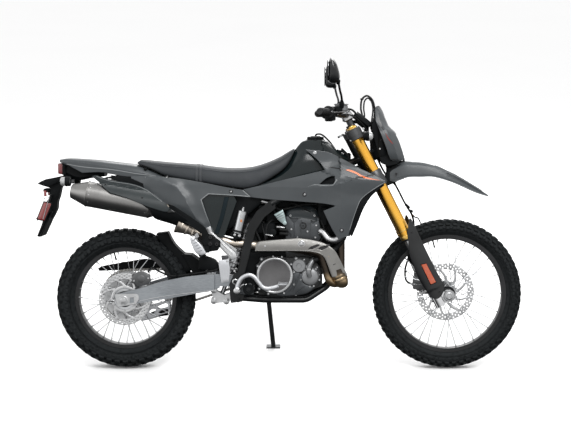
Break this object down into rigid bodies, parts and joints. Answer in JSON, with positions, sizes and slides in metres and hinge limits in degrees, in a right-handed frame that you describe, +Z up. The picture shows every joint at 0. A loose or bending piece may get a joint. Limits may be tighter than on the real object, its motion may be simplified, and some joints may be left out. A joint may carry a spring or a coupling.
{
  "type": "dual sport motorcycle",
  "caption": "Dual sport motorcycle parked on its side stand, with knobby tyres, gold fork, long bench seat, high silencer and side shrouds.",
  "frame": {"origin": "centre of the bounding box on the ground, as the motorcycle stands parked", "axes": "+X forward, +Y to the rider's left, +Z up; the motorcycle leans 10 degrees towards +Y"},
  "size_m": [2.2524, 0.8739, 1.49],
  "materials": {
    "tyre_black": "moulded rubber with blocks",
    "rim_black": "black anodised",
    "hub_black": "black cast hub with bright spokes",
    "disc_steel": "ground steel",
    "chain_steel": "oiled steel",
    "frame_black": "satin black",
    "bare_aluminium": "bead blasted",
    "engine_grey": "magnesium grey paint",
    "cover_grey": "satin cast covers",
    "black_plastic": "fine grain",
    "panel_grey": "satin warm grey",
    "tank_green": "glossy dark green-black",
    "seat_cover": "grained vinyl",
    "lamp_red": "clear red lens",
    "lamp_clear": "clear lens on black body",
    "fork_gold": "gold anodised",
    "fork_chrome": "hard chrome",
    "clamp_grey": "dark anodised",
    "exhaust_steel": "brushed stainless",
    "shield_beige": "matt metallic beige",
    "grip_rubber": "soft rubber",
    "screen_dark": "black case with a dark display",
    "brake_alloy": "grey anodised"
  },
  "bodies": {
    "chassis": {"frame": "frame_black", "subframe": "bare_aluminium", "crankcase": "engine_grey", "engine_covers": "cover_grey", "cylinder": "engine_grey", "head_cover": "frame_black", "throttle_body": "engine_grey", "silencer": "exhaust_steel", "exhaust_pipe": "exhaust_steel", "header_guard": "shield_beige", "silencer_cover": "black_plastic", "seat": "seat_cover", "fuel_tank": "tank_green", "shroud_left": "panel_grey", "shroud_right": "panel_grey", "side_cover_left": "panel_grey", "side_cover_right": "panel_grey", "radiators": "bare_aluminium", "airbox": "tank_green", "tail": "panel_grey", "rear_lights": "lamp_red", "plate_bracket": "black_plastic", "swingarm": "bare_aluminium", "rear_axle": "disc_steel", "rear_shock": "bare_aluminium", "linkage": "bare_aluminium", "front_sprocket": "chain_steel", "chain": "chain_steel", "chain_guard": "black_plastic", "rear_caliper": "brake_alloy", "footrests": "frame_black", "brake_pedal": "bare_aluminium", "shift_lever": "bare_aluminium"},
    "steering": {"triple_clamps": "clamp_grey", "fork_tubes": "fork_gold", "fork_sliders": "fork_chrome", "fork_guards": "black_plastic", "front_axle": "disc_steel", "front_fender": "panel_grey", "headlight_mask": "panel_grey", "headlamp": "black_plastic", "headlamp_lens": "lamp_clear", "front_signals": "lamp_clear", "handlebar": "clamp_grey", "hand_controls": "grip_rubber", "mirrors": "black_plastic", "instrument": "screen_dark", "front_caliper": "brake_alloy"},
    "front_wheel": {"front_tyre": "tyre_black", "front_rim": "rim_black", "front_hub": "hub_black", "front_disc": "disc_steel"},
    "rear_wheel": {"rear_tyre": "tyre_black", "rear_rim": "rim_black", "rear_hub": "hub_black", "rear_disc": "disc_steel", "rear_sprocket": "disc_steel"},
    "side_stand": {"side_stand": "clamp_grey"}
  },
  "joints": [
    {"name": "steering_head", "type": "hinge", "parent": "chassis", "child": "steering", "pos_m": [0.4293, -0.08556, 0.86869], "axis": [-0.454, 0.1547, 0.8775], "range_deg": [-42, 42]},
    {"name": "front_wheel_spin", "type": "hinge", "parent": "steering", "child": "front_wheel", "pos_m": [0.7795, -0.17813, 0.34367], "axis": [0, 0.9848, -0.1736], "continuous": true},
    {"name": "rear_wheel_spin", "type": "hinge", "parent": "chassis", "child": "rear_wheel", "pos_m": [-0.7155, -0.18195, 0.322], "axis": [0, 0.9848, -0.1736], "continuous": true},
    {"name": "side_stand_fold", "type": "hinge", "parent": "chassis", "child": "side_stand", "pos_m": [-0.058, -0.0568, 0.3177], "axis": [0.1337, 0.9249, 0.356], "range_deg": [0, 87]}
  ]
}
